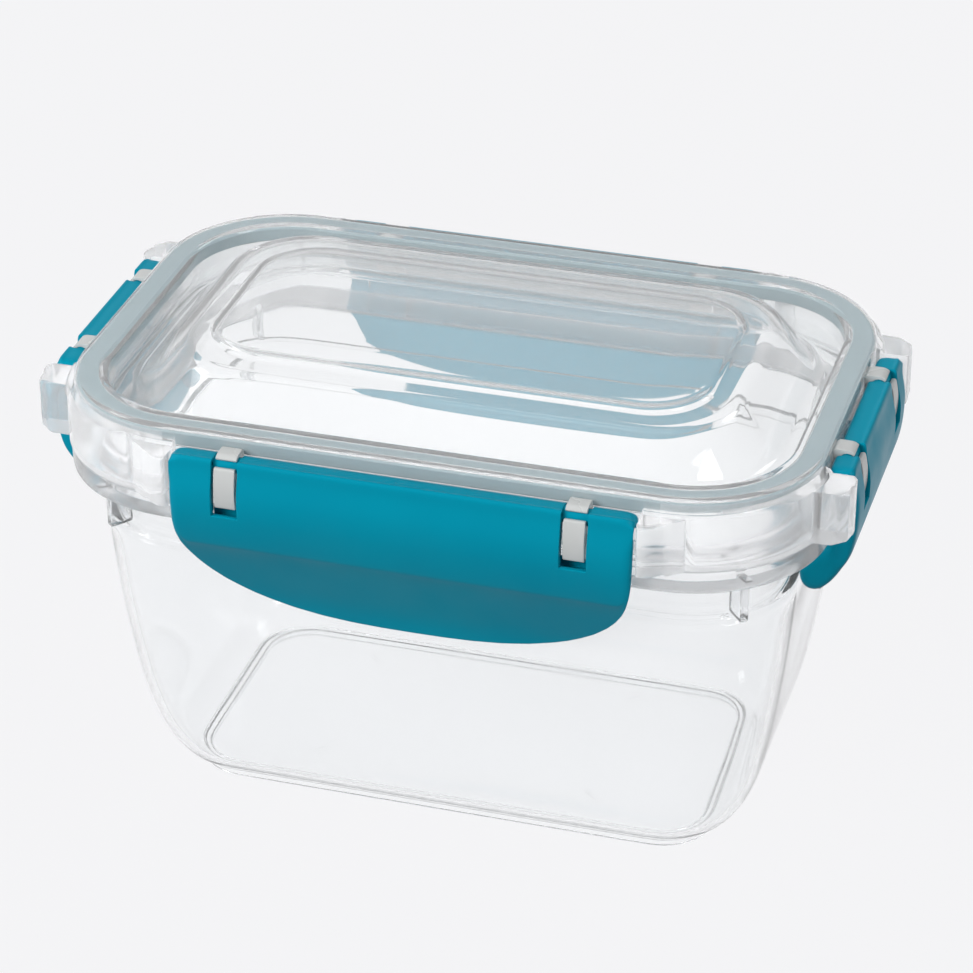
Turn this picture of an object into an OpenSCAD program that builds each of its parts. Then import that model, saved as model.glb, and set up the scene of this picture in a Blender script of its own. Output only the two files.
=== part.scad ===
// Clip-lock food canister: tub, lid, ring seal and four hinged clips.
// Units are millimetres. The base centre is the origin, +X runs along the long side,
// -Y is the front and +Z is up. Everything is drawn closed, with the clips locked.

/* [Tub] */
// outer length of the ring seal, which sets the plan of tub and lid
seal_l = 187.4; // [170:0.1:210]
// outer width of the ring seal
seal_w = 121.2; // [110:0.1:140]
// corner radius of the ring seal in plan
corner_r = 32; // [31.5:0.5:36]
// height of the tub's sealing lip above the table
lip_z = 111.4; // [108:0.1:125]
// thickness of the tub's floor
floor_t = 2.0; // [1.6:0.1:3]
// height of the foot ring that the tub stands on
foot_h = 2.6; // [1.5:0.1:2.6]
// depth of the recess in the wall between the shelf and the flange
recess = 3.2; // [2:0.1:3.4]
// outward reach of the tub's flange past the seal line
flange_out = 2.9; // [2.2:0.1:3]
// outward reach of the tub's locking lugs past the seal line
lug_out = 4.1; // [3.6:0.1:4.1]

/* [Lid] */
// thickness of the lid's walls
lid_t = 1.8; // [1.4:0.1:2]
// height of the lid's panel above the tub's sealing lip
lid_rise = 12.6; // [11:0.1:13]
// outward reach of the lid's skirt past the seal line
skirt_out = 3.2; // [2.6:0.1:3.4]

/* [Clips] */
// length of the front and back clips
long_clip = 114.8; // [90:0.2:118]
// length of the two end clips
end_clip = 62; // [50:0.2:62]
// distance between the two hooks of a long clip
long_hooks = 86.4; // [60:0.2:88]
// distance between the two hooks of an end clip
end_hooks = 39.4; // [30:0.2:42]
// drop of the long clips' lower edge below the hinge pin
long_drop = 44; // [36:0.5:44]
// drop of the end clips' lower edge below the hinge pin
end_drop = 39.5; // [34:0.5:42]
// thickness of the clips' curved flap
clip_t = 2.4; // [2:0.1:2.6]
// radius of the clip's rounded top bar
bar_r = 3.0; // [2.6:0.1:3]
// radius of the hinge pins
pin_r = 2.0; // [1.6:0.1:2.1]
// radial running clearance between a pin and its hook
pin_gap = 0.08; // [0.04:0.01:0.1]
// vertical gap between a closed catch and the lug above it
catch_gap = 0.3; // [0.3:0.05:0.6]

/* [Hidden] */
$fn = 96;

// plan sizes
a = seal_l / 2;
b = seal_w / 2;
cx = a - corner_r;
cy = b - corner_r;

// heights worked out from the lip
seal_gap = 0.3;                  // tub lip to seal, which a closed clip squeezes
seal_h = 3.7;
seal_wd = 5.1;
seal_z = lip_z + seal_gap;
seat = 0.1;                      // seal to groove
ceil_z = seal_z + seal_h + seat; // ceiling of the lid's groove
rim_z = ceil_z + 1.7;            // top of the lid's rim
flange_z = lip_z - 18.9;         // underside of the tub's flange and lugs
flange_h = 6;
skirt_z = flange_z + flange_h + 0.5;
shelf_z = flange_z - 12;         // shelf that the corner ribs stand on
moat_z = ceil_z - 5.5;           // top of the lid's sunk floor
top_z = lip_z + lid_rise;        // top of the lid's panel
plate_z = top_z - 1.7;           // shelf around the panel

// clip frame: the pin's axis, u outward from it and w up from it
pin_off = 4.6;                   // seal line to pin axis
pin_z = lip_z - 0.2;
hook_w = 5.3;
slot_w = 6.6;
end_gap = 0.6;                   // clip end to the lid's ear
wall_u = 1.1;                    // lid's outer wall behind the clips
hook_low = -10.4;
slot_low = -12.2;
catch_w = flange_z - catch_gap - pin_z;
ear_out = 9.2;

// outer face of the clip's curved flap, from the bar down to the tip
face = [[1.6, 2.2], [2.6, 1.2], [3.4, -0.8], [4.1, -3], [4.7, -5.6], [4.95, -8.2],
  [4.8, -10.8], [4.4, -13.4], [3.8, -16], [3.0, -18.6], [2.1, -21.2], [0.9, -24.2],
  [-0.5, -27.4], [-2.0, -30.6], [-3.5, -33.8], [-4.9, -37], [-6.1, -40.4], [-7.1, -44.5]];

function unit(v) = v / norm(v);
function inward(p, i) =
  let (d = unit(p[min(i + 1, len(p) - 1)] - p[max(i - 1, 0)])) [d[1], -d[0]];
function offset_face(p, t) = [for (i = [len(p) - 1 : -1 : 2]) p[i] + t * inward(p, i)];

// rounded rectangle of half sizes p and q and corner radius r
module plan(p, q, r) {
  union() {
    square([2 * (p - r), 2 * q], center = true);
    square([2 * p, 2 * (q - r)], center = true);
    for (i = [-1, 1], j = [-1, 1]) translate([i * (p - r), j * (q - r)]) circle(r = r);
  }
}

// carries a profile (x outward, y up) around a rounded rectangle of half sizes p and q
module ring(p, q, r) {
  for (i = [0, 1]) mirror([i, 0, 0]) {
    translate([p, q - r, 0]) rotate([90, 0, 0]) linear_extrude(height = 2 * (q - r)) children();
    for (j = [0, 1]) mirror([0, j, 0])
      translate([p - r, q - r, 0]) rotate_extrude(angle = 90) translate([r, 0]) children();
  }
  for (j = [0, 1]) mirror([0, j, 0])
    translate([-(p - r), q, 0]) rotate([90, 0, 90]) linear_extrude(height = 2 * (p - r)) children();
}

module slab(p, q, r, z0, z1) {
  translate([0, 0, z0]) linear_extrude(height = z1 - z0) plan(p, q, r);
}

// puts a clip-side feature on each side: 0 front, 1 right, 2 back, 3 left
module side(n) {
  off = (n % 2 == 0 ? b : a) + pin_off;
  rotate([0, 0, 90 * n]) translate([0, -off, pin_z]) children();
}

// ---- tub: one moulding with foot, curved wall, bead, flange, lugs and sealing lip
module tub_profile() {
  neck = -4.9 - recess;
  polygon([[-24.4, 0], [-24.4, foot_h - 0.3], [-22.6, 3.1], [-20.2, 5.0], [-17.6, 8.2],
    [-15.5, 12.1], [-13.8, 16.5], [-12.3, 21.5], [-11.0, 27.5], [-9.9, 34], [-8.4, 44],
    [-6.9, 56], [-5.8, 68], [-4.9, shelf_z - 1], [-5.3, shelf_z - 0.3], [-6.2, shelf_z],
    [neck + 0.5, shelf_z], [neck, shelf_z + 0.6], [neck + 0.3, flange_z - 1.5],
    [neck + 1.3, flange_z], [flange_out, flange_z],
    [flange_out, flange_z + flange_h - 0.5], [flange_out - 0.5, flange_z + flange_h],
    [-0.6, flange_z + flange_h], [-1.6, flange_z + flange_h + 1], [-1.6, lip_z - 0.5],
    [-2.1, lip_z], [-3.1, lip_z], [-3.6, lip_z - 0.5], [-3.6, flange_z + 11],
    [-4.4, flange_z + 8.6], [neck - 1, flange_z + 3.6], [neck - 1.7, flange_z + 1],
    [neck - 2, shelf_z - 0.6], [neck - 1.4, shelf_z - 1.6], [-7.9, shelf_z - 2.1],
    [-7.0, shelf_z - 3.2], [-7.8, 68.2], [-8.9, 56.2], [-10.4, 44.3], [-11.9, 34.4],
    [-13.0, 28], [-14.3, 22.1], [-15.7, 17.3], [-17.3, 13.2], [-19.1, 9.7],
    [-21.3, foot_h + floor_t + 2], [-23.6, foot_h + floor_t], [-27, foot_h + floor_t],
    [-27, foot_h], [-26.4, foot_h], [-26.4, 0]]);
}

module lug(len) {
  translate([-len / 2, 0, 0]) rotate([90, 0, 90]) linear_extrude(height = len)
    polygon([[pin_off - 1, flange_z - pin_z], [pin_off - 1, flange_z - pin_z + 4.8],
      [pin_off - lug_out + 1, flange_z - pin_z + 4.8],
      [pin_off - lug_out, flange_z - pin_z + 3], [pin_off - lug_out, flange_z - pin_z]]);
}

module tub() {
  color("aliceblue") union() {
    ring(a, b, corner_r) tub_profile();
    slab(a - 26.8, b - 26.8, corner_r - 26.8, foot_h, foot_h + floor_t);
    for (n = [0, 2]) side(n) lug(long_clip - 16);
    for (n = [1, 3]) side(n) lug(end_clip - 12);
    for (i = [0, 1], j = [0, 1]) mirror([i, 0, 0]) mirror([0, j, 0])
      translate([cx, cy, shelf_z - 0.4]) rotate([0, 0, 50])
        translate([corner_r - 8.5, -1.3, 0]) cube([6.5, 2.6, flange_z - shelf_z + 0.8]);
  }
}

// ---- lid: one moulding with rim, groove, sunk floor, dome, skirt, ears and hooks
dome_in = 11.5;                  // seal line to the dome's foot
dome_r = 33;                     // corner radius of the dome's foot
slope_in = 9.8;                  // dome's foot to the top of its sloping side
panel_in = 18.6;                 // dome's foot to the step up to the panel
dp = a - dome_in;
dq = b - dome_in;

module lid_core() {
  polygon([[seat, skirt_z], [wall_u, skirt_z], [wall_u, rim_z - 1.2], [0.4, rim_z - 0.3],
    [-0.6, rim_z], [-5.6, rim_z], [-6.6, rim_z - 0.7], [-7, rim_z - 1.8], [-7.4, moat_z],
    [-9, moat_z], [-9, moat_z - lid_t], [-5.8, moat_z - lid_t],
    [-seal_wd - seat, moat_z - lid_t + 0.7], [-seal_wd - seat, ceil_z], [seat, ceil_z]]);
}

module lid_skirt() {
  polygon([[wall_u - 0.5, skirt_z], [skirt_out, skirt_z], [skirt_out, rim_z - 4.2],
    [skirt_out - 0.5, rim_z - 2.8], [wall_u, rim_z - 1.7], [wall_u - 0.5, rim_z - 1.7]]);
}

module lid_dome() {
  polygon([[0.5, moat_z], [0, moat_z], [-1, moat_z + 1.2], [-slope_in, plate_z - 1],
    [-slope_in - 1.4, plate_z], [-panel_in, plate_z], [-panel_in - 1, top_z - 0.3],
    [-panel_in - 1.6, top_z], [-panel_in - 2.4, top_z], [-panel_in - 2.4, top_z - lid_t],
    [-panel_in - 2, top_z - lid_t], [-panel_in - 1, plate_z - lid_t],
    [-slope_in - 1.9, plate_z - lid_t], [-slope_in - 1.2, plate_z - lid_t - 0.5],
    [-2.4, moat_z + 0.2], [-2.4, moat_z - lid_t], [0.5, moat_z - lid_t]]);
}

// wedge-shaped ear that shields one end of a clip
module ear(len, pts) {
  h = rim_z - 4 - skirt_z;
  translate([len / 2 + end_gap, pin_off, skirt_z - pin_z]) linear_extrude(height = h)
    polygon([for (p = pts) [p[0], -p[1]]]);
}

// plans of the ears: distance past the clip, reach past the seal line
long_ear = [[0, 0.7], [0, ear_out - 0.8], [0.8, ear_out], [2.6, ear_out], [4, ear_out - 0.8],
  [10, skirt_out], [10, 0.7]];
end_ear = [[0, 0.7], [0, ear_out - 0.8], [0.8, ear_out], [7.4, ear_out], [9.4, ear_out - 1.4],
  [10, ear_out - 3.2], [10, -1.1]];

// hook that opens upward and holds the pin, one solid with the lid
module hook() {
  difference() {
    rotate([90, 0, 90]) translate([0, 0, -hook_w / 2]) linear_extrude(height = hook_w)
      union() {
        polygon([[pin_off - wall_u + 0.4, hook_low + 3], [pin_off - wall_u + 0.4, 2.6],
          [1.7, 2.6], [1.7, 0], [-3.2, 0], [-3.8, -1.6], [-4.1, -5],
          [-4.1, hook_low + 1], [-3.1, hook_low], [0.6, hook_low]]);
        difference() {
          circle(r = 3.3);
          polygon([[0, 0], [-6, 9], [1.4, 9]]);
        }
      }
    rotate([0, 90, 0]) cylinder(r = pin_r + pin_gap, h = hook_w + 2, center = true);
    translate([-hook_w, -1.3, 0]) cube([2 * hook_w, 2.6, 6]);
  }
}

module lid() {
  color("whitesmoke") union() {
    ring(a, b, corner_r) lid_core();
    difference() {
      slab(a - 8, b - 8, corner_r - 8, moat_z - lid_t, moat_z);
      slab(dp - 1, dq - 1, dome_r - 1, moat_z - lid_t - 1, moat_z + 1);
    }
    ring(dp, dq, dome_r) lid_dome();
    slab(dp - panel_in - 2.2, dq - panel_in - 2.2, dome_r - panel_in - 2.2, top_z - lid_t, top_z);
    difference() {
      ring(a, b, corner_r) lid_skirt();
      for (n = [0, 2]) side(n) translate([-long_clip / 2 - end_gap, -20, -20])
        cube([long_clip + 2 * end_gap, 20 + pin_off - wall_u, 40]);
      for (n = [1, 3]) side(n) translate([-end_clip / 2 - end_gap, -20, -20])
        cube([end_clip + 2 * end_gap, 20 + pin_off - wall_u, 40]);
    }
    for (n = [0, 2], m = [0, 1]) side(n) mirror([m, 0, 0]) ear(long_clip, long_ear);
    for (n = [1, 3], m = [0, 1]) side(n) mirror([m, 0, 0]) ear(end_clip, end_ear);
    for (n = [0, 2], m = [-1, 1]) side(n) translate([m * long_hooks / 2, 0, 0]) hook();
    for (n = [1, 3], m = [-1, 1]) side(n) translate([m * end_hooks / 2, 0, 0]) hook();
  }
}

// ---- gasket: closed silicone ring in the lid's groove, with a shallow sealing channel
module gasket() {
  color("slategray") ring(a, b, corner_r)
    polygon([[-seal_wd, seal_z + 0.5], [-seal_wd + 0.5, seal_z], [-3.6, seal_z],
      [-3.2, seal_z + 0.5], [-2, seal_z + 0.5], [-1.6, seal_z], [-0.5, seal_z],
      [0, seal_z + 0.5], [0, seal_z + seal_h - 0.4], [-0.4, seal_z + seal_h],
      [-seal_wd + 0.4, seal_z + seal_h], [-seal_wd, seal_z + seal_h - 0.4]]);
}

// ---- clips: top bar, curved flap with two windows, catch ridge and the hinge pins
// half outline of a flap: rounded top corner, then a superellipse down to the middle
function edge(h, drop, st) = concat([[h - 2.8, 3], [h - 1.2, 2.4], [h - 0.3, 1.2], [h, -0.5]],
  [for (t = [0 : 6 : 84]) [h * pow(cos(t), 0.74), -st - (drop - st) * pow(sin(t), 0.74)]],
  [[0, -drop]]);

function left(p) = [for (i = [len(p) - 2 : -1 : 0]) [-p[i][0], p[i][1]]];

module clip(len, hooks, drop, st) {
  e = edge(len / 2, drop, st);
  color("teal") union() {
    difference() {
      intersection() {
        union() {
          rotate([0, 90, 0]) cylinder(r = bar_r, h = len, center = true);
          translate([-len / 2, 0, 0]) rotate([90, 0, 90]) linear_extrude(height = len)
            polygon([for (p = concat(face, offset_face(face, clip_t))) [-p[0], p[1]]]);
          translate([-len / 2 + 9, 0, 0]) rotate([90, 0, 90]) linear_extrude(height = len - 18)
            polygon([[-1.6, catch_w], [1.7, catch_w], [1.7, catch_w - 1], [0.9, catch_w - 2.4],
              [0.4, catch_w - 5], [-0.8, catch_w - 5]]);
        }
        translate([0, 12, 0]) rotate([90, 0, 0]) linear_extrude(height = 24)
          polygon(concat(e, left(e)));
      }
      for (m = [-1, 1]) translate([m * hooks / 2 - slot_w / 2, -9, slot_low])
        cube([slot_w, 18, 20]);
    }
    for (m = [-1, 1]) translate([m * hooks / 2, 0, 0]) rotate([0, 90, 0])
      cylinder(r = pin_r, h = slot_w + 2, center = true);
  }
}

module front_clip() side(0) clip(long_clip, long_hooks, long_drop, 8);
module right_clip() side(1) clip(end_clip, end_hooks, end_drop, 14);
module back_clip() side(2) clip(long_clip, long_hooks, long_drop, 8);
module left_clip() side(3) clip(end_clip, end_hooks, end_drop, 14);

tub();
lid();
gasket();
front_clip();
back_clip();
left_clip();
right_clip();
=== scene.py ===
"""Clip-lock food canister: a clear tub and lid, a silicone ring seal and four hinged clips.

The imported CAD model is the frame. Each piece below is the finished skin of one CAD node, or
of one part of it, and rides on that node's body. Sizes are in millimetres, and each mesh is
turned into metres as it is made.
"""

import math

import bmesh
import bpy
from mathutils import Matrix, Vector


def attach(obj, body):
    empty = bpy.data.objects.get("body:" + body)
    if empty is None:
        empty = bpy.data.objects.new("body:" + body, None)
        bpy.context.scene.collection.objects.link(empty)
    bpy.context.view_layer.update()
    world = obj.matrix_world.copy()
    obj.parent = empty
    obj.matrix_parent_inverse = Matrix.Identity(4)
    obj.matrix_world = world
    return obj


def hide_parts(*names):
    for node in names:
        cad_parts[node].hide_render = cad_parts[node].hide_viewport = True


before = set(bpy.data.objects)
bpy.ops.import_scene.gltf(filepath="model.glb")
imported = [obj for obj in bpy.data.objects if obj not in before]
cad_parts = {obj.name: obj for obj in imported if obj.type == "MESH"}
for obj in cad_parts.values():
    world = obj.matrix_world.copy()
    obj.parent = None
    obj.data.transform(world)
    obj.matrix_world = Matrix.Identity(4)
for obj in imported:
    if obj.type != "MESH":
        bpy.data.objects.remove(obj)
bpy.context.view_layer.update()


# ---- Tub --------------------------------------------------------------------------------
# The tub is one injection moulding in clear, slightly cool plastic. A curved wall stands on
# a thin foot ring, steps in above a shelf, and ends in a flange with locking lugs and a lip
# that presses into the ring seal. Four ribs brace the recess at the corners.
MM = 0.001
WELD = 1e-6  # points closer than this, in metres, are one
X_AXIS, Y_AXIS = Vector((1, 0, 0)), Vector((0, 1, 0))
SEAL_X, SEAL_Y = 93.7, 60.6  # half length and half width of the seal line
SEAL_CORNER = 32.0
CORNER_X, CORNER_Y = SEAL_X - SEAL_CORNER, SEAL_Y - SEAL_CORNER  # half straight runs
TUB_ARC_STEPS = 8

# offset out from the seal line, height, and extra corner radius, from the base round the
# wall and over the lip to the inside floor
TUB_LEVELS = [
    (-36.0, 2.6, 8.0), (-27.2, 2.6, 6.6), (-26.5, 2.4, 6.4), (-26.4, 1.4, 6.4),
    (-26.3, 0.25, 6.4), (-25.9, 0.0, 6.4), (-24.9, 0.0, 6.4), (-24.5, 0.25, 6.4),
    (-24.4, 1.2, 6.4), (-24.3, 2.2, 6.3), (-23.7, 2.75, 6.2), (-22.4, 3.3, 6.0),
    (-20.2, 5.0, 5.6), (-17.6, 8.2, 5.0), (-15.5, 12.1, 4.4), (-13.8, 16.5, 3.8),
    (-12.3, 21.5, 3.2), (-11.0, 27.5, 2.6), (-9.9, 34.0, 2.0), (-8.4, 44.0, 1.2),
    (-6.9, 56.0, 0.6), (-5.8, 68.0, 0.2), (-5.05, 77.5, 0.0), (-4.9, 79.5, 0.0),
    (-5.1, 80.2, 0.0), (-5.8, 80.5, 0.0), (-7.3, 80.5, 0.0), (-7.95, 80.8, 0.0),
    (-8.1, 81.6, 0.0), (-7.95, 86.0, 0.0), (-7.8, 90.8, 0.0), (-7.5, 92.0, 0.0),
    (-6.8, 92.5, 0.0), (0.0, 92.5, 0.0), (2.3, 92.5, 0.0), (2.8, 92.65, 0.0),
    (2.9, 93.2, 0.0), (2.9, 97.7, 0.0), (2.8, 98.3, 0.0), (2.2, 98.5, 0.0),
    (-0.3, 98.5, 0.0), (-1.2, 98.65, 0.0), (-1.6, 99.3, 0.0), (-1.6, 105.0, 0.0),
    (-1.6, 110.6, 0.0), (-1.75, 111.2, 0.0), (-2.2, 111.4, 0.0), (-3.0, 111.4, 0.0),
    (-3.45, 111.2, 0.0), (-3.6, 110.6, 0.0), (-3.6, 104.2, 0.0), (-3.9, 102.4, 0.0),
    (-4.8, 100.8, 0.0), (-8.8, 96.6, 0.0), (-9.6, 95.3, 0.0), (-9.85, 93.6, 0.0),
    (-10.0, 86.0, 0.0), (-10.1, 80.5, 0.0), (-9.95, 79.6, 0.0), (-9.3, 78.9, 0.0),
    (-8.1, 78.4, 0.0), (-7.25, 77.6, 0.0), (-7.05, 76.4, 0.0), (-7.8, 68.2, 0.2),
    (-8.9, 56.2, 0.6), (-10.4, 44.3, 1.2), (-11.9, 34.4, 2.0), (-13.0, 28.0, 2.6),
    (-14.3, 22.1, 3.2), (-15.7, 17.3, 3.8), (-17.3, 13.2, 4.4), (-19.1, 9.7, 5.0),
    (-21.3, 6.8, 5.6), (-23.8, 5.1, 6.2), (-26.6, 4.6, 6.6), (-36.0, 4.6, 8.0),
]
FLANGE_FACE = (93.2, 97.7)  # heights of the flange's outer band
FLANGE_OUT = 2.5  # that band lies further out than this from the seal line
LUG_REACH = 1.2
LONG_LUG, END_LUG = 49.4, 25.0  # half lengths of the locking lugs
LUG_ROUNDING = 0.9
LUG_COLUMNS = (
    [(LONG_LUG + d) / CORNER_X for d in (-LUG_ROUNDING, 0.0, LUG_ROUNDING)],
    [(END_LUG + d) / CORNER_Y for d in (-LUG_ROUNDING, 0.0, LUG_ROUNDING)],
)
RIB_SIZE = (6.4, 2.4, 12.6)  # out from the corner, across and up
RIB_ROUNDING = 0.5
RIB_ANGLE = math.radians(50.0)
RIB_RADIUS, RIB_HEIGHT = 26.7, 86.5  # from the corner's centre, and up, to the rib's middle
# the milky faces, by height from and to, and by how far out they start
MILKY_RIBS = (80.9, 91.5, -7.6)
MILKY_FLANGE = (92.55, 98.6, -2.0)


def middle_of(face):
    """The middle of a face, in millimetres."""
    return face.calc_center_median() / MM


def round_over(bm, geom, radius, steps=4, affect="EDGES", clamp=True):
    """Rounds edges or corners over by a radius and returns the new points."""
    return bmesh.ops.bevel(
        bm, geom=geom, offset=radius, offset_type="OFFSET", segments=steps, profile=0.5,
        affect=affect, clamp_overlap=clamp, material=-1,
    )["verts"]


def rounded_face(bm, level, steps, columns):
    """One level rounded rectangle; columns are extra points along the straight runs."""
    half_x, half_y, corner, height = level
    start = bmesh.ops.create_grid(bm, x_segments=1, y_segments=1, size=1.0)["verts"]
    bmesh.ops.scale(bm, verts=start, vec=(half_x * MM, half_y * MM, 1.0))
    bmesh.ops.translate(bm, verts=start, vec=(0.0, 0.0, height * MM))
    round_over(bm, start, corner * MM, steps, affect="VERTICES", clamp=False)
    for axis, half, shares in ((0, half_x, columns[0]), (1, half_y, columns[1])):
        if not shares:
            continue
        run = (half - corner) * MM
        places = sorted([-s * run for s in shares] + [s * run for s in shares])
        sides = [
            e for e in bm.edges
            if abs(abs(e.verts[0].co[axis] - e.verts[1].co[axis]) - 2 * run) < WELD
        ]
        for edge in sides:
            cut = bmesh.ops.subdivide_edges(bm, edges=[edge], cuts=len(places))
            new = [g for g in cut["geom_inner"] if isinstance(g, bmesh.types.BMVert)]
            for vert, place in zip(sorted(new, key=lambda v: v.co[axis]), places):
                vert.co[axis] = place
    return list(bm.faces)[0]


def reshape(verts, old, new):
    """Moves the points of one rounded rectangle onto the next one."""
    old_x, old_y = (old[0] - old[2]) * MM, (old[1] - old[2]) * MM
    new_x, new_y = (new[0] - new[2]) * MM, (new[1] - new[2]) * MM
    growth = new[2] / old[2]
    for vert in verts:
        share_x = max(-1.0, min(1.0, vert.co.x / old_x))
        share_y = max(-1.0, min(1.0, vert.co.y / old_y))
        vert.co = (
            share_x * new_x + (vert.co.x - share_x * old_x) * growth,
            share_y * new_y + (vert.co.y - share_y * old_y) * growth,
            new[3] * MM,
        )


def extrude_cap(bm, cap, keep_old):
    """Extrudes a loft's cap in place and returns the new cap; the old one goes or is kept."""
    grown = bmesh.ops.extrude_face_region(bm, geom=[cap])["geom"]
    if not keep_old:
        bmesh.ops.delete(bm, geom=[cap], context="FACES_ONLY")
    return next(g for g in grown if isinstance(g, bmesh.types.BMFace))


def loft(bm, levels, steps, columns=((), ()), closed=False):
    """Extrudes one face through rounded rectangles of (half_x, half_y, corner, height)."""
    cap = rounded_face(bm, levels[0], steps, columns)
    if closed:
        levels = levels + levels[:1]
    for n, (old, new) in enumerate(zip(levels, levels[1:])):
        cap = extrude_cap(bm, cap, keep_old=n == 0 and not closed)
        reshape(list(cap.verts), old, new)
    if closed:
        bmesh.ops.delete(bm, geom=[cap], context="FACES_ONLY")
        bmesh.ops.remove_doubles(bm, verts=bm.verts, dist=WELD)


def around_seal(levels):
    """Turns (offset, height, extra corner) levels into lofting levels."""
    return [
        (SEAL_X + out, SEAL_Y + out, SEAL_CORNER + out + extra, height)
        for out, height, extra in levels
    ]


def from_core(point):
    """The way out to a point, in millimetres, from the plan's core of straight runs."""
    core_x = max(-CORNER_X, min(CORNER_X, point.x))
    core_y = max(-CORNER_Y, min(CORNER_Y, point.y))
    return Vector((point.x - core_x, point.y - core_y, 0.0))


def out_from_seal(point):
    """How far outside the seal line a point lies, in millimetres."""
    return from_core(point).length - SEAL_CORNER


def grow(bm, faces):
    """Extrudes faces in place and returns the new vertices; the old faces go."""
    geom = bmesh.ops.extrude_face_region(bm, geom=faces)["geom"]
    bmesh.ops.delete(bm, geom=faces, context="FACES")
    return [v for v in geom if isinstance(v, bmesh.types.BMVert)]


def add_block(bm, size, rounding, place):
    """Adds a box with rounded edges, placed by a matrix in millimetres."""
    block = bmesh.ops.create_cube(bm, size=1.0)["verts"]
    bmesh.ops.scale(bm, verts=block, vec=size)
    edges = list({e for v in block for e in v.link_edges})
    rounded = round_over(bm, edges, rounding, steps=2)
    bmesh.ops.transform(bm, matrix=Matrix.Scale(MM, 4) @ place, verts=rounded)


def finish_piece(bm, name, looks, body, node, sharp_angle=35.0):
    """Writes the mesh, gives it its finish, ties it to its body and hides the CAD node it
    replaces.
    """
    bmesh.ops.remove_doubles(bm, verts=bm.verts, dist=WELD)
    bmesh.ops.recalc_face_normals(bm, faces=bm.faces)
    mesh = bpy.data.meshes.new(name)
    bm.to_mesh(mesh)
    bm.free()
    mesh.shade_smooth()
    mesh.set_sharp_from_angle(angle=math.radians(sharp_angle))
    for material in looks:
        mesh.materials.append(material)
    piece = bpy.data.objects.new(name, mesh)
    bpy.context.collection.objects.link(piece)
    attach(piece, body)
    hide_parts(node)
    return piece


def soften(piece):
    """Rounds the whole skin with a subdivision surface."""
    smooth = piece.modifiers.new("soft corners", "SUBSURF")
    smooth.levels = smooth.render_levels = 2


def mottle(tree, scale, detail):
    """An uneven pattern fixed to the piece; the scale is in repeats to the metre."""
    place = tree.nodes.new("ShaderNodeTexCoord")
    noise = tree.nodes.new("ShaderNodeTexNoise")
    noise.inputs["Scale"].default_value = scale
    noise.inputs["Detail"].default_value = detail
    tree.links.new(place.outputs["Object"], noise.inputs["Vector"])
    return noise.outputs["Fac"]


def uneven_gloss(tree, shader, pattern, part, roughness):
    """Lets roughness run from its first value to its second over one part of a pattern."""
    gloss = tree.nodes.new("ShaderNodeMapRange")
    gloss.inputs["From Min"].default_value, gloss.inputs["From Max"].default_value = part
    gloss.inputs["To Min"].default_value, gloss.inputs["To Max"].default_value = roughness
    tree.links.new(pattern, gloss.inputs["Value"])
    tree.links.new(gloss.outputs["Result"], shader.inputs["Roughness"])


def relief(tree, shader, pattern, strength, depth):
    """Gives the surface a pattern's relief, with its depth in millimetres."""
    bump = tree.nodes.new("ShaderNodeBump")
    bump.inputs["Strength"].default_value = strength
    bump.inputs["Distance"].default_value = depth * MM
    tree.links.new(pattern, bump.inputs["Height"])
    tree.links.new(bump.outputs["Normal"], shader.inputs["Normal"])


SMEAR_SCALE, SMEAR_DETAIL, SMEAR_PART = 38.0, 4.0, (0.35, 0.75)
SMEAR_ROUGHNESS = 0.05  # added where handling has dulled the plastic
FLOW_SCALE, FLOW_DETAIL, FLOW_DEPTH = 24.0, 1.0, 0.4
COOL_CLEAR = (0.975, 0.983, 0.987)


def clear_plastic(name, tint, roughness, haze, ripple, ior=1.4):
    """Clear moulded plastic with faint flow ripples and handling haze in its gloss."""
    material = bpy.data.materials.new(name)
    material.use_nodes = True
    tree = material.node_tree
    shader = tree.nodes["Principled BSDF"]
    shader.inputs["Base Color"].default_value = (*tint, 1.0)
    shader.inputs["Transmission Weight"].default_value = 1.0 - haze
    shader.inputs["IOR"].default_value = ior
    smears = mottle(tree, SMEAR_SCALE, SMEAR_DETAIL)
    uneven_gloss(tree, shader, smears, SMEAR_PART, (roughness, roughness + SMEAR_ROUGHNESS))
    relief(tree, shader, mottle(tree, FLOW_SCALE, FLOW_DETAIL), ripple, FLOW_DEPTH)
    # lamplight passes straight through, so that it reaches the inside
    ray = tree.nodes.new("ShaderNodeLightPath")
    passing = tree.nodes.new("ShaderNodeBsdfTransparent")
    passing.inputs["Color"].default_value = (1.0 - haze, 1.0 - haze, 1.0 - haze, 1.0)
    let_light_in = tree.nodes.new("ShaderNodeMixShader")
    tree.links.new(ray.outputs["Is Shadow Ray"], let_light_in.inputs["Fac"])
    tree.links.new(shader.outputs["BSDF"], let_light_in.inputs[1])
    tree.links.new(passing.outputs["BSDF"], let_light_in.inputs[2])
    surface = tree.nodes["Material Output"].inputs["Surface"]
    tree.links.new(let_light_in.outputs["Shader"], surface)
    return material


tub_skin = bmesh.new()
loft(tub_skin, around_seal(TUB_LEVELS), TUB_ARC_STEPS, LUG_COLUMNS)
for axis, across, seal, half in (
    (Y_AXIS, X_AXIS, SEAL_Y, LONG_LUG), (X_AXIS, Y_AXIS, SEAL_X, END_LUG),
):
    for side in (-1, 1):
        band = []
        for face in tub_skin.faces:
            middle = middle_of(face)
            if (
                middle.dot(axis) * side > seal + FLANGE_OUT
                and abs(middle.dot(across)) < half
                and FLANGE_FACE[0] < middle.z < FLANGE_FACE[1]
            ):
                band.append(face)
        bmesh.ops.translate(
            tub_skin, vec=axis * side * LUG_REACH * MM, verts=grow(tub_skin, band)
        )

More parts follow.
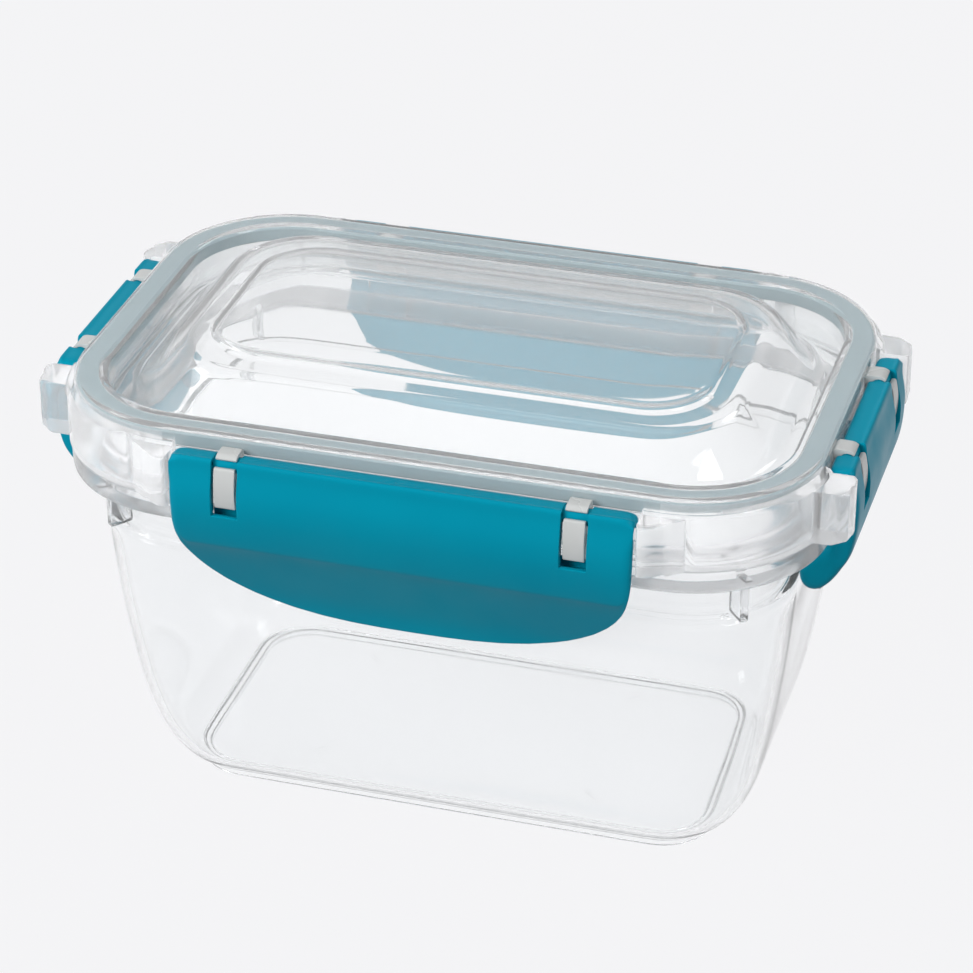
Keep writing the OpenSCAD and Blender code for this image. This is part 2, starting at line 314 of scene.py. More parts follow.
for turn in (RIB_ANGLE, math.pi - RIB_ANGLE, math.pi + RIB_ANGLE, -RIB_ANGLE):
    centre = Vector((
        math.copysign(CORNER_X, math.cos(turn)) + RIB_RADIUS * math.cos(turn),
        math.copysign(CORNER_Y, math.sin(turn)) + RIB_RADIUS * math.sin(turn),
        RIB_HEIGHT,
    ))
    place = Matrix.Translation(centre) @ Matrix.Rotation(turn, 4, "Z")
    add_block(tub_skin, RIB_SIZE, RIB_ROUNDING, place)

for face in tub_skin.faces:
    middle = middle_of(face)
    for lowest, highest, inmost in (MILKY_RIBS, MILKY_FLANGE):
        if lowest < middle.z < highest and out_from_seal(middle) > inmost:
            face.material_index = 1

tub_looks = [
    clear_plastic("clear tub plastic", COOL_CLEAR, roughness=0.02, haze=0.04, ripple=0.15),
    clear_plastic(
        "milky flange plastic", (0.95, 0.96, 0.97), roughness=0.12, haze=0.22, ripple=0.3
    ),
]
tub = finish_piece(tub_skin, "tub_moulding", tub_looks, "tub_body", "tub")
soften(tub)


# ---- Ring seal --------------------------------------------------------------------------
# The seal is a closed ring of soft grey-blue silicone, pressed into the lid's groove. A
# shallow channel runs round its underside, where the tub's lip presses in.
LID_ARC_STEPS = 24  # the seal turns its corners in the same steps as the lid over it
SEAL_LEVELS = [
    (-5.1, 112.2, 0.0), (-4.6, 111.7, 0.0), (-3.6, 111.7, 0.0), (-3.2, 112.2, 0.0),
    (-2.0, 112.2, 0.0), (-1.6, 111.7, 0.0), (-0.5, 111.7, 0.0), (0.0, 112.2, 0.0),
    (0.0, 115.0, 0.0), (-0.4, 115.4, 0.0), (-4.7, 115.4, 0.0), (-5.1, 115.0, 0.0),
]
DRIFT_SCALE, DRIFT_DETAIL, DRIFT_PART = 22.0, 3.0, (0.3, 0.7)
HANDLED_SCALE, HANDLED_DETAIL, HANDLED_PART = 75.0, 5.0, (0.35, 0.7)
POLISHED, DULLED = 0.05, 0.07  # how far handling lowers and raises the roughness
GRAIN_DETAIL, GRAIN_STRENGTH = 2.0, 0.35


def moulded_look(name, dark, light, roughness, specular, grain, grain_depth):
    """An opaque moulded finish: soft colour drift, uneven gloss and a fine surface grain."""
    material = bpy.data.materials.new(name)
    material.use_nodes = True
    tree = material.node_tree
    shader = tree.nodes["Principled BSDF"]
    shader.inputs["Specular IOR Level"].default_value = specular
    tone = tree.nodes.new("ShaderNodeValToRGB")
    for stop, position, colour in zip(tone.color_ramp.elements, DRIFT_PART, (dark, light)):
        stop.position, stop.color = position, (*colour, 1.0)
    tree.links.new(mottle(tree, DRIFT_SCALE, DRIFT_DETAIL), tone.inputs["Fac"])
    tree.links.new(tone.outputs["Color"], shader.inputs["Base Color"])
    handled = mottle(tree, HANDLED_SCALE, HANDLED_DETAIL)
    spread = (roughness - POLISHED, roughness + DULLED)
    uneven_gloss(tree, shader, handled, HANDLED_PART, spread)
    relief(tree, shader, mottle(tree, grain, GRAIN_DETAIL), GRAIN_STRENGTH, grain_depth)
    return material


silicone = moulded_look(
    "grey blue silicone", dark=(0.138, 0.212, 0.236), light=(0.16, 0.24, 0.264),
    roughness=0.55, specular=0.4, grain=700.0, grain_depth=0.05,
)
seal_skin = bmesh.new()
loft(seal_skin, around_seal(SEAL_LEVELS), LID_ARC_STEPS, closed=True)
finish_piece(seal_skin, "ring_seal", [silicone], "lid_body", "gasket")


# ---- Lid --------------------------------------------------------------------------------
# The lid is one clear moulding: a raised panel on a domed middle, a sunk channel round it,
# a rounded rim over the seal, and a skirt at the corners. Ears shield the ends of the
# clips, and eight hooks hold the clips' pins.

# half length, half width, corner radius and height, from the panel's middle over the rim
# and back along the underside
DOME_TOP = [
    (50.0, 17.3, 6.0, 124.0), (62.2, 29.5, 14.6, 124.0), (62.9, 30.2, 15.2, 123.93),
    (63.4, 30.7, 15.6, 123.65), (63.8, 31.1, 15.9, 123.2), (64.2, 31.5, 16.2, 122.75),
    (64.6, 31.9, 16.5, 122.45), (65.2, 32.5, 17.0, 122.3), (69.6, 37.9, 18.6, 122.3),
    (70.6, 38.9, 19.4, 122.2), (71.5, 39.7, 20.1, 121.9), (72.3, 40.4, 20.7, 121.3),
    (73.1, 41.1, 21.4, 120.5), (76.6, 44.2, 24.6, 116.5), (80.2, 47.2, 28.0, 112.4),
    (81.0, 47.9, 28.8, 111.4), (81.7, 48.6, 29.4, 110.7), (82.5, 49.4, 30.0, 110.2),
    (83.5, 50.4, 30.6, 110.0),
]
# the rim's levels are written as the tub's are
RIM_TOP = [
    (-8.4, 110.0, 0.0), (-7.8, 110.2, 0.0), (-7.5, 110.7, 0.0), (-7.35, 111.5, 0.0),
    (-7.05, 115.4, 0.0), (-6.85, 116.2, 0.0), (-6.4, 116.8, 0.0), (-5.8, 117.1, 0.0),
    (-5.2, 117.2, 0.0), (-1.0, 117.2, 0.0), (-0.2, 117.1, 0.0), (0.45, 116.8, 0.0),
    (0.9, 116.3, 0.0), (1.1, 115.6, 0.0), (1.1, 114.5, 0.0), (1.1, 113.2, 0.0),
    (1.1, 99.0, 0.0), (0.1, 99.0, 0.0), (0.1, 115.2, 0.0), (-0.2, 115.5, 0.0),
    (-4.9, 115.5, 0.0), (-5.2, 115.2, 0.0), (-5.2, 109.0, 0.0), (-5.4, 108.5, 0.0),
    (-5.9, 108.2, 0.0), (-10.0, 108.2, 0.5),
]
DOME_UNDER = [
    (81.3, 48.2, 29.0, 108.25), (80.4, 47.3, 28.4, 108.7), (79.6, 46.5, 27.8, 109.5),
    (75.2, 42.9, 23.6, 114.6), (71.6, 39.8, 20.2, 118.9), (70.8, 39.0, 19.6, 119.7),
    (70.0, 38.2, 19.0, 120.2), (69.0, 37.2, 18.2, 120.45), (67.8, 36.0, 17.6, 120.5),
    (64.6, 31.9, 16.6, 120.5), (63.8, 31.1, 16.0, 120.65), (63.3, 30.6, 15.6, 121.0),
    (62.9, 30.2, 15.2, 121.6), (62.5, 29.8, 14.9, 122.0), (61.8, 29.1, 14.4, 122.2),
    (50.0, 17.3, 6.0, 122.2),
]
LONG_BAY, END_BAY = 58.0, 31.6  # half lengths of the gaps that the clips sit in
WALL_OUT, WALL_TOP = 0.6, 115.0  # the rim's outer wall is further out and lower than this
SKIRT = (99.0, 114.5)  # heights of the wall's part that steps out at the corners
SKIRT_STEPS = {114.5: (1.5, 0.5), 113.2: (2.1, 0.1), 99.0: (2.1, 0.0)}  # out and down, by row
SAME_ROW = 0.02
# distance past the clip bay and reach past the seal line, along each ear
LONG_EAR = [(0.0, 9.2), (2.6, 9.2), (4.0, 8.4), (10.0, 3.2)]
END_EAR = [(0.0, 9.2), (8.0, 9.2), (10.0, 6.2)]
# an ear grows from faces lower and further out than this, and not far behind its side
EAR_TOP, EAR_ROOT, EAR_BEHIND = 112.9, 2.8, 12.0
UPRIGHT = 0.2  # the normal of an upright face rises or falls less than this
EAR_ROUNDING = 2.0
EAR_EDGES = 5.0  # edges further out than this belong to the ears
CORNER_ANGLE = math.radians(40.0)  # sharper edges than this are rounded
MILKY_SKIRT = (-0.2, 113.3)  # further out and lower than this, a corner is milky
EDGE_ROUNDING = 0.35
PIN_OFFSET, PIN_HEIGHT = 4.6, 111.2  # seal line to hinge pin, and the pin's height
LONG_HOOKS, END_HOOKS = 43.2, 19.7  # middle of the side to the middle of each hook
HOOK_WIDTH = 5.3
# the hook's side view: out from the pin, up from it, and how far each corner is rounded
HOOK_OUTLINE = [
    (-3.7, -6.6, 0.0), (-1.6, -10.4, 1.0), (3.8, -10.4, 0.5), (4.3, -7.4, 2.0),
    (4.2, -2.8, 2.0), (3.4, 0.5, 0.6), (2.15, 0.2, 0.2), (2.08, -0.4, 0.0),
    (2.08, -2.08, 2.0), (-2.08, -2.08, 2.0), (-2.08, 0.4, 0.0), (-1.82, 1.05, 0.0),
    (-1.05, 1.84, 0.0), (-0.1, 2.12, 0.0), (0.8, 1.98, 0.0), (1.4, 1.58, 0.2),
    (1.9, 2.2, 0.4), (0.9, 3.0, 0.8), (-3.7, 3.1, 1.2),
]


def straight_between(points, x):
    """Reads a value off a broken line of (x, value) points."""
    for (x0, v0), (x1, v1) in zip(points, points[1:]):
        if x <= x1:
            return v0 + (v1 - v0) * (x - x0) / (x1 - x0)
    return points[-1][1]


def add_bar(bm, outline, length, place):
    """Adds a bar with a rounded side view, (out, up, rounding) points, and returns its faces."""
    before = set(bm.faces)
    points = [bm.verts.new((-length / 2, -out, up)) for out, up, _ in outline]
    bm.faces.new(points)
    for vert, (_, _, rounding) in zip(points, outline):
        if rounding:
            round_over(bm, [vert], rounding, affect="VERTICES", clamp=False)
    side = next(f for f in bm.faces if f not in before)
    grown = bmesh.ops.extrude_face_region(bm, geom=[side])["geom"]
    far = [v for v in grown if isinstance(v, bmesh.types.BMVert)]
    bmesh.ops.translate(bm, verts=far, vec=(length, 0.0, 0.0))
    made = [f for f in bm.faces if f not in before]
    verts = list({v for f in made for v in f.verts})
    bmesh.ops.transform(bm, matrix=Matrix.Scale(MM, 4) @ place, verts=verts)
    return made


def side_of_lid(turn, seal):
    """The matrix from a pin's own place, front side, to one side of the lid."""
    return Matrix.Rotation(turn, 4, "Z") @ Matrix.Translation(
        (0.0, -(seal + PIN_OFFSET), PIN_HEIGHT)
    )


def cut_rim(bm, axis, distances):
    """Cuts the rim's outer wall across one axis, on both sides of the middle."""
    for place in [side * d for d in distances for side in (-1, 1)]:
        geom = set()
        for face in bm.faces:
            middle = middle_of(face)
            if out_from_seal(middle) > WALL_OUT and middle.z < WALL_TOP:
                geom.update((face, *face.edges, *face.verts))
        bmesh.ops.bisect_plane(
            bm, geom=list(geom), dist=WELD, plane_co=axis * place * MM, plane_no=axis
        )


def at_corner(point):
    """Tells whether a point lies past the clip bays, at one of the lid's corners."""
    return abs(point.x) > LONG_BAY and abs(point.y) > END_BAY


lid_skin = bmesh.new()
loft(lid_skin, DOME_TOP + around_seal(RIM_TOP) + DOME_UNDER, LID_ARC_STEPS)
cut_rim(lid_skin, X_AXIS, [LONG_BAY + d for d, _ in LONG_EAR])
cut_rim(lid_skin, Y_AXIS, [END_BAY + d for d, _ in END_EAR])

skirt = []
for face in lid_skin.faces:
    middle = middle_of(face)
    on_wall = SKIRT[0] < middle.z < SKIRT[1] and out_from_seal(middle) > WALL_OUT
    if on_wall and at_corner(middle):
        skirt.append(face)
for vert in grow(lid_skin, skirt):
    point = vert.co / MM
    for height, (step, sink) in SKIRT_STEPS.items():
        if abs(point.z - height) < SAME_ROW:
            vert.co += (from_core(point).normalized() * step - Vector((0, 0, sink))) * MM

for axis, across, seal, bay, ear in (
    (Y_AXIS, X_AXIS, SEAL_Y, LONG_BAY, LONG_EAR),
    (X_AXIS, Y_AXIS, SEAL_X, END_BAY, END_EAR),
):
    root = []
    for face in lid_skin.faces:
        middle = middle_of(face)
        along = abs(middle.dot(across)) - bay
        if (
            0.0 < along < ear[-1][0] and abs(middle.dot(axis)) > seal - EAR_BEHIND
            and out_from_seal(middle) > EAR_ROOT and middle.z < EAR_TOP
            and abs(face.normal.z) < UPRIGHT
        ):
            root.append(face)
    for vert in grow(lid_skin, root):
        along = abs(vert.co.dot(across)) / MM - bay
        reach = (seal + straight_between(ear, along)) * MM
        side = math.copysign(1.0, vert.co.dot(axis))
        vert.co += axis * (side * reach - vert.co.dot(axis))

ear_edges = []
for edge in lid_skin.edges:
    nearest = min(out_from_seal(v.co / MM) for v in edge.verts)
    if nearest > EAR_EDGES and edge.is_manifold and edge.calc_face_angle() > CORNER_ANGLE:
        ear_edges.append(edge)
round_over(lid_skin, ear_edges, EAR_ROUNDING * MM)
for face in lid_skin.faces:
    middle = middle_of(face)
    outside, below = out_from_seal(middle) > MILKY_SKIRT[0], middle.z < MILKY_SKIRT[1]
    if outside and below and at_corner(middle):
        face.material_index = 1

for turn, seal, hooks in (
    (0.0, SEAL_Y, LONG_HOOKS), (math.pi / 2, SEAL_X, END_HOOKS),
    (math.pi, SEAL_Y, LONG_HOOKS), (-math.pi / 2, SEAL_X, END_HOOKS),
):
    for x in (-hooks, hooks):
        place = side_of_lid(turn, seal) @ Matrix.Translation((x, 0.0, 0.0))
        for face in add_bar(lid_skin, HOOK_OUTLINE, HOOK_WIDTH, place):
            face.material_index = 2

lid_looks = [
    clear_plastic(
        "polished lid plastic", COOL_CLEAR, roughness=0.02, haze=0.1, ripple=0.1, ior=1.34
    ),
    clear_plastic(
        "milky skirt plastic", (0.97, 0.974, 0.98), roughness=0.12, haze=0.24, ripple=0.25,
        ior=1.36,
    ),
    clear_plastic(
        "milky hook plastic", (0.55, 0.565, 0.56), roughness=0.25, haze=0.85, ripple=0.3
    ),
]
lid = finish_piece(lid_skin, "lid_moulding", lid_looks, "lid_body", "lid")
rounded = lid.modifiers.new("rounded edges", "BEVEL")
rounded.width, rounded.segments, rounded.harden_normals = EDGE_ROUNDING * MM, 2, True
rounded.limit_method, rounded.angle_limit = "ANGLE", CORNER_ANGLE


# ---- Clips ------------------------------------------------------------------------------
# Each clip is one satin teal moulding: a curved flap that hangs from a round bar, with two
# windows where the bar thins to a pin that turns in the lid's hooks. A ridge inside the
# flap catches under the tub's lugs.
PIN_RADIUS = 2.0
PIN_INSET = 1.5  # from a clip's end to its pin's end
FLAP_THICKNESS = 2.4
WINDOW = 6.6
SILL = 12.2  # depth of the windows below the pin
SILL_THICKNESS = 0.8
CREASE = 21.5  # depth where the flap bends in under the flange
# the most of its own depth that a flap gives to the sill, and of the rest to the crease
SILL_SHARE, CREASE_SHARE = 0.6, 0.72
# half is half a clip's length; drop and shoulder are its depths in the middle and at the
# ends; fullness and corner are powers that shape the lower edge between them; face gives
# depths below the pin and distances out from it; curl is how far the lower corners turn
# in; crisp, from 0 to 1, keeps the roundings of the edges narrow
LONG_CLIP = {
    "half": 57.4, "hooks": LONG_HOOKS, "drop": 44.0, "shoulder": 8.0,
    "fullness": 1.35, "corner": 0.37, "curl": 0.0, "crisp": 0.55,
    "face": [
        (-2.6, 3.25), (0.8, 3.6), (3.0, 4.1), (5.6, 4.7), (8.2, 4.95), (10.8, 4.9),
        (13.4, 4.65), (16.0, 4.2), (18.6, 3.6), (20.6, 3.05), (21.5, 2.7), (22.6, 2.0),
        (24.2, 1.1), (27.4, -0.5), (30.6, -2.0), (33.8, -3.5), (37.0, -4.9),
        (40.4, -6.1), (44.5, -7.1),
    ],
}
END_CLIP = {
    "half": 31.0, "hooks": END_HOOKS, "drop": 35.0, "shoulder": 15.0,
    "fullness": 6.0, "corner": 0.32, "curl": 2.6, "crisp": 0.35,
    "face": [
        (-2.6, 3.25), (0.8, 3.6), (3.0, 4.1), (5.6, 4.7), (8.2, 4.95), (10.8, 4.9),
        (13.4, 4.8), (16.0, 4.6), (18.6, 4.2), (20.6, 3.7), (22.6, 3.0), (24.2, 2.2),
        (27.4, 0.4), (30.6, -1.8), (33.8, -3.6), (37.0, -5.0),
    ],
}
# the bar's rows of points, out and up from the pin: round the back, then a strip that is
# sunk a little below the crisp top edge of the face
BAR_RADIUS = 3.0
BAR_ROWS = [
    (BAR_RADIUS * math.cos(a), BAR_RADIUS * math.sin(a))
    for a in map(math.radians, (235.0, 213.0, 191.0, 169.0, 147.0))
] + [
    (-1.6, 1.9), (-0.4, 2.08), (1.0, 2.12), (1.9, 2.16), (2.3, 2.32), (2.65, 2.36),
    (2.98, 2.2), (3.25, 1.8),
]
# the rows below the bar: heights down to the sill, then shares of the way to the crease,
# and of the way from there to the lower edge
FACE_ROWS = [1.2, 0.3, -0.9, -3.0, -5.6, -8.2, -10.6, 0.5 - SILL, -SILL]
CREASE_ROWS = [0.06, 0.3, 0.55, 0.78, 0.93, 1.0]
TAIL_ROWS = [0.06, 0.18, 0.34, 0.52, 0.7, 0.84, 0.94, 0.985, 1.0]
# shares of the way from the middle to a window, and from a window to the end
INNER_COLUMNS = [0.0, 0.19, 0.38, 0.57, 0.75, 0.9]
OUTER_COLUMNS = [0.3, 0.52, 0.7, 0.83, 0.92, 0.97, 1.0]
WINDOW_EDGE = 0.5  # extra columns this far from a window's sides keep them crisp
ON_EDGE = 0.1  # a point nearer than this to a window's edge is on it
# how far in from a clip's end the bar is rounded, and its size at the very end
BAR_END, BAR_END_SIZE = 2.8, 0.4
NECK_UP, NECK_OUT = -3.0, 3.4  # above this height, the face's ends round back to this reach
FLAP_END, FLAP_END_DEPTH = 2.2, 1.3  # length and depth of the ends' rounding below that
CURL_LENGTH = 6.0
# the ridge inside the flap, like the hook's outline, and how far in from the ends it stops
CATCH_OUTLINE = [
    (1.6, -19.0, 0.0), (-1.7, -19.0, 0.3), (-1.7, -20.0, 0.3), (-0.9, -21.4, 0.6),
    (-0.4, -24.0, 0.0), (0.8, -24.0, 0.0),
]
CATCH_INSET = 9.0
# the pocket under each window: a floor that falls away inward, and a back
POCKET_OUTLINE = [
    (4.3, -12.7, 0.0), (0.3, -15.4, 0.0), (0.3, -11.5, 0.1), (-0.2, -11.5, 0.1),
    (-0.2, -16.4, 0.0), (4.0, -15.8, 0.0),
]
POCKET_SIDES = 0.8  # reach past each side of the window
# the rounded lobe inside each lower corner of a short flap: its side view, the middle of
# that view, and its distance from the clip's middle and size, step by step
LOBE_OUTLINE = [
    (3.7, -15.0), (3.9, -19.5), (2.4, -23.8), (0.3, -27.9), (-2.2, -31.2), (-5.0, -33.2),
    (-8.3, -32.4), (-9.6, -28.4), (-8.2, -24.2), (-5.0, -20.7), (-1.0, -19.4), (0.2, -15.0),
]
LOBE_MIDDLE = Matrix.Translation((0.0, 3.0, -25.5))
LOBE_STEPS = [(24.5, 0.85), (26.5, 1.0), (29.4, 1.0), (31.0, 0.74)]
ALL_SMOOTH = 180.0  # no edge is sharper than this, so none is shaded as sharp

teal = moulded_look(
    "satin teal plastic", dark=(0.0, 0.214, 0.313), light=(0.0, 0.236, 0.335),
    roughness=0.34, specular=0.07, grain=1400.0, grain_depth=0.03,
)


def quarter_round(share):
    """Rises from 0 to 1 along a quarter of a circle."""
    return math.sqrt(1 - (1 - share) ** 2)


def flap_columns(clip):
    """The distance from a flap's middle of each column of its points, end to end."""
    low, high = clip["hooks"] - WINDOW / 2, clip["hooks"] + WINDOW / 2
    past = high + WINDOW_EDGE
    half = [low * share for share in INNER_COLUMNS]
    half += [low - WINDOW_EDGE, low, low + WINDOW_EDGE, clip["hooks"]]
    half += [high - WINDOW_EDGE, high, past]
    half += [past + (clip["half"] - past) * share for share in OUTER_COLUMNS]
    return [-x for x in reversed(half[1:])] + half


def flap_point(clip, row, x):
    """One point of a flap's outer face, as its distances out and up from the pin."""
    turn = min(1.0, abs(x) / clip["half"]) ** clip["fullness"]
    arch = (1 - turn**2) ** clip["corner"]
    depth = clip["shoulder"] + (clip["drop"] - clip["shoulder"]) * arch
    sill = min(SILL, SILL_SHARE * depth)
    crease = min(CREASE, sill + CREASE_SHARE * (depth - sill))
    to_end = max(0.0, clip["half"] - abs(x))
    bar = 1.0
    if to_end < BAR_END:
        bar = BAR_END_SIZE + (1 - BAR_END_SIZE) * quarter_round(to_end / BAR_END)
    if row < len(BAR_ROWS):
        out, up = BAR_ROWS[row]
        return out * bar, up * bar

    heights = [up * (bar if up > 0 else sill / SILL) for up in FACE_ROWS]
    heights += [-sill - (crease - sill) * share for share in CREASE_ROWS]
    heights += [-crease - (depth - crease) * share for share in TAIL_ROWS]
    up = heights[row - len(BAR_ROWS)]
    out = straight_between(clip["face"], -up)
    if up > NECK_UP:
        out = min(out, NECK_OUT + (out - NECK_OUT) * bar)
    elif to_end < FLAP_END:
        out -= FLAP_END_DEPTH * (1 - quarter_round(to_end / FLAP_END))
    if -up > crease and to_end < CURL_LENGTH:
        tail = (-up - crease) / (depth - crease)
        out -= clip["curl"] * (1 - to_end / CURL_LENGTH) * tail**4
    return out, up


def flap_sheet(clip, place):
    """A flap's outer face as a sheet with two windows, on its own side of the lid."""
    columns = flap_columns(clip)
    rows = len(BAR_ROWS) + len(FACE_ROWS) + len(CREASE_ROWS) + len(TAIL_ROWS)
    bm = bmesh.new()
    bmesh.ops.create_grid(bm, x_segments=len(columns) - 1, y_segments=rows - 1, size=1.0)
    for vert in bm.verts:
        x = columns[round((vert.co.x + 1) / 2 * (len(columns) - 1))]
        row = round((vert.co.y + 1) / 2 * (rows - 1))
        out, up = flap_point(clip, row, x)
        vert.co = (x, -out, up)
    holes = []
    for face in bm.faces:
        middle = face.calc_center_median()
        if abs(abs(middle.x) - clip["hooks"]) < WINDOW / 2 and middle.z > -SILL:
            holes.append(face)
    bmesh.ops.delete(bm, geom=holes, context="FACES")
    bmesh.ops.transform(bm, matrix=Matrix.Scale(MM, 4) @ place, verts=bm.verts)
    return bm


def thicken_flap(flap, clip, place):
    """Gives the sheet its wall, thin at the windows' sills, and rounds it."""
    thick = flap.vertex_groups.new(name="full thickness")
    for vert in flap.data.vertices:
        spot = place.inverted() @ (vert.co / MM)
        by_window = abs(abs(spot.x) - clip["hooks"]) < WINDOW / 2 + ON_EDGE
        at_sill = by_window and abs(spot.z + SILL) < ON_EDGE
        thick.add([vert.index], SILL_THICKNESS / FLAP_THICKNESS if at_sill else 1.0, "REPLACE")
    wall = flap.modifiers.new("moulded thickness", "SOLIDIFY")
    wall.thickness, wall.offset, wall.use_even_offset = FLAP_THICKNESS * MM, -1.0, True
    wall.vertex_group = thick.name
    wall.edge_crease_rim = wall.edge_crease_inner = wall.edge_crease_outer = clip["crisp"]
    soften(flap)


def pin_and_catch(clip, place):
    """The inside of a clip: its catch, the pockets under its windows, and its pin."""
    bm = bmesh.new()
    add_bar(bm, CATCH_OUTLINE, 2 * (clip["half"] - CATCH_INSET), place)
    for x in (-clip["hooks"], clip["hooks"]):
        spot = place @ Matrix.Translation((x, 0.0, 0.0))
        add_bar(bm, POCKET_OUTLINE, WINDOW + 2 * POCKET_SIDES, spot)
    pin = bmesh.ops.create_cone(
        bm, cap_ends=True, segments=32, radius1=PIN_RADIUS, radius2=PIN_RADIUS,
        depth=2 * (clip["half"] - PIN_INSET), matrix=Matrix.Rotation(math.pi / 2, 4, "Y"),
    )["verts"]
    bmesh.ops.transform(bm, matrix=Matrix.Scale(MM, 4) @ place, verts=pin)
    return bm


def add_lobe(bm, side, place):
    """One rounded lobe, extruded away from the clip's middle through its steps."""
    cap = bm.faces.new([bm.verts.new((0.0, -out, up)) for out, up in LOBE_OUTLINE])
    verts, old_x, old_size = list(cap.verts), 0.0, 1.0
    for n, (x, size) in enumerate(LOBE_STEPS):
        if n:
            cap = extrude_cap(bm, cap, keep_old=n == 1)
            verts += list(cap.verts)
        ratio = size / old_size
        squeeze = Matrix.Diagonal((1.0, ratio, ratio, 1.0))
        squeeze = LOBE_MIDDLE @ squeeze @ LOBE_MIDDLE.inverted()
        step = Matrix.Translation((side * (x - old_x), 0.0, 0.0))
        bmesh.ops.transform(bm, matrix=step @ squeeze, verts=list(cap.verts))
        old_x, old_size = x, size
    bmesh.ops.transform(bm, matrix=Matrix.Scale(MM, 4) @ place, verts=verts)


for side_name, clip, turn, seal in (
    ("front", LONG_CLIP, 0.0, SEAL_Y),
    ("right", END_CLIP, math.pi / 2, SEAL_X),
    ("back", LONG_CLIP, math.pi, SEAL_Y),
    ("left", END_CLIP, -math.pi / 2, SEAL_X),
):
    place = side_of_lid(turn, seal)
    body, node = side_name + "_clip_body", side_name + "_clip"
    sheet = flap_sheet(clip, place)
    flap = finish_piece(sheet, node + "_flap", [teal], body, node, ALL_SMOOTH)
    thicken_flap(flap, clip, place)
    inside = pin_and_catch(clip, place)
    finish_piece(inside, node + "_pin_and_catch", [teal], body, node)
    if clip is END_CLIP:
        lobe_skin = bmesh.new()
        for side in (-1, 1):
            add_lobe(lobe_skin, side, place)
        name = node + "_corner_lobes"
        lobes = finish_piece(lobe_skin, name, [teal], body, node, ALL_SMOOTH)
        soften(lobes)


# ---- Floor, light and camera ------------------------------------------------------------
# A plain pale floor with soft studio light from above. The floor and the world look pale to
# the eye, directly and in plastic, but throw less light than that on the canister.
PALE = (0.985, 0.985, 1.0)
FLOOR_REACH = 60.0  # in metres, far enough that a low view meets no edge
FLOOR_GREY = (0.16, 0.16, 0.17)
FLOOR_PALENESS = 0.9
# the world's strength as light, what is added where it is looked at, mirrored or seen
# through plastic, and what is added again where it is looked at directly
WORLD_LIGHT, WORLD_SEEN, WORLD_BEHIND = 0.22, 0.28, 0.4
LAMP_TARGET = (0.0, 0.0, 0.08)  # in metres, as are the places below
CAMERA_PLACE, CAMERA_TARGET = (0.2254, -0.7603, 0.5281), (0.0018, 0.0, 0.0767)
CAMERA_LENS, CAMERA_SENSOR = 131.94, 36.0


def work_out(tree, operation, *values):
    """The result of a Math node over numbers and other nodes' outputs."""
    node = tree.nodes.new("ShaderNodeMath")
    node.operation = operation
    for socket, value in zip(node.inputs, values):
        if isinstance(value, float):
            socket.default_value = value
        else:
            tree.links.new(value, socket)
    return node.outputs[0]


def seen_by_eye(tree, rays):
    """1 for rays that look, mirror or see through, and 0 for rays that carry light."""
    seen = rays.outputs["Is Camera Ray"]
    for kind in ("Is Glossy Ray", "Is Transmission Ray"):
        seen = work_out(tree, "MAXIMUM", seen, rays.outputs[kind])
    return seen


def point_at(thing, place, target):
    """Stands a lamp or camera in its place, facing its target."""
    thing.location = place
    sight = Vector(target) - Vector(place)
    thing.rotation_euler = sight.to_track_quat("-Z", "Y").to_euler()
    bpy.context.collection.objects.link(thing)


def softbox(name, place, size, power, seen_in_gloss=True):
    """A large rectangular area lamp aimed at the canister."""
    lamp = bpy.data.lights.new(name, "AREA")
    lamp.shape, lamp.size, lamp.size_y = "RECTANGLE", size[0], size[1]
    lamp.energy = power
    holder = bpy.data.objects.new(name, lamp)
    holder.visible_glossy = holder.visible_transmission = seen_in_gloss
    point_at(holder, place, LAMP_TARGET)


floor_mesh = bpy.data.meshes.new("floor")
floor_build = bmesh.new()
bmesh.ops.create_grid(floor_build, x_segments=1, y_segments=1, size=FLOOR_REACH)
floor_build.to_mesh(floor_mesh)
floor_build.free()
floor = bpy.data.objects.new("floor", floor_mesh)
bpy.context.collection.objects.link(floor)

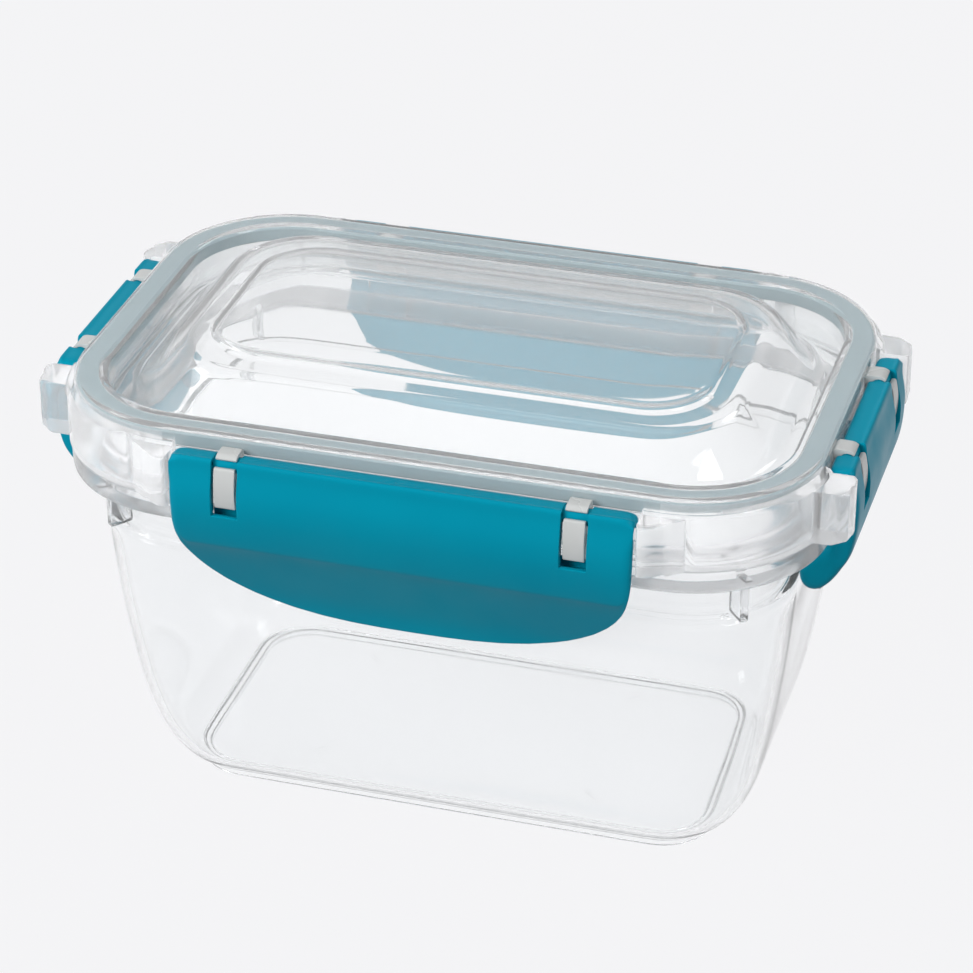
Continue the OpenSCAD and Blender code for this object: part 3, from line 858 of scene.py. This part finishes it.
floor_look = bpy.data.materials.new("pale floor")
floor_look.use_nodes = True
tree = floor_look.node_tree
tree.nodes.remove(tree.nodes["Principled BSDF"])
matt = tree.nodes.new("ShaderNodeBsdfDiffuse")
matt.inputs["Color"].default_value = (*FLOOR_GREY, 1.0)
plain = tree.nodes.new("ShaderNodeEmission")
plain.inputs["Color"].default_value = (*PALE, 1.0)
shown = tree.nodes.new("ShaderNodeMixShader")
rays = tree.nodes.new("ShaderNodeLightPath")
paleness = work_out(tree, "MULTIPLY", seen_by_eye(tree, rays), FLOOR_PALENESS)
tree.links.new(paleness, shown.inputs["Fac"])
tree.links.new(matt.outputs[0], shown.inputs[1])
tree.links.new(plain.outputs[0], shown.inputs[2])
tree.links.new(shown.outputs[0], tree.nodes["Material Output"].inputs["Surface"])
floor_mesh.materials.append(floor_look)

world = bpy.data.worlds.new("studio")
bpy.context.scene.world = world
world.use_nodes = True
tree = world.node_tree
sky = tree.nodes["Background"]
sky.inputs["Color"].default_value = (*PALE, 1.0)
rays = tree.nodes.new("ShaderNodeLightPath")
glow = work_out(tree, "MULTIPLY_ADD", seen_by_eye(tree, rays), WORLD_SEEN, WORLD_LIGHT)
glow = work_out(tree, "MULTIPLY_ADD", rays.outputs["Is Camera Ray"], WORLD_BEHIND, glow)
tree.links.new(glow, sky.inputs["Strength"])

softbox("back key", place=(1.0, 1.1, 1.2), size=(0.6, 0.6), power=4.5)
softbox("top box", place=(-0.1, 0.3, 1.2), size=(0.4, 0.3), power=0.8)
softbox("front fill", place=(-0.8, -1.3, 1.0), size=(0.9, 0.9), power=33.0, seen_in_gloss=False)
softbox("back fill", place=(-0.6, 1.4, 0.5), size=(0.8, 0.8), power=9.0, seen_in_gloss=False)
softbox("right box", place=(1.1, -0.5, 0.8), size=(0.5, 0.5), power=6.0)
softbox("left box", place=(-0.9, -0.3, 0.8), size=(0.3, 0.3), power=1.5)

camera_data = bpy.data.cameras.new("camera")
camera_data.lens, camera_data.sensor_width = CAMERA_LENS, CAMERA_SENSOR
camera = bpy.data.objects.new("camera", camera_data)
point_at(camera, CAMERA_PLACE, CAMERA_TARGET)
bpy.context.scene.camera = camera

bpy.context.scene.view_settings.view_transform = "Standard"
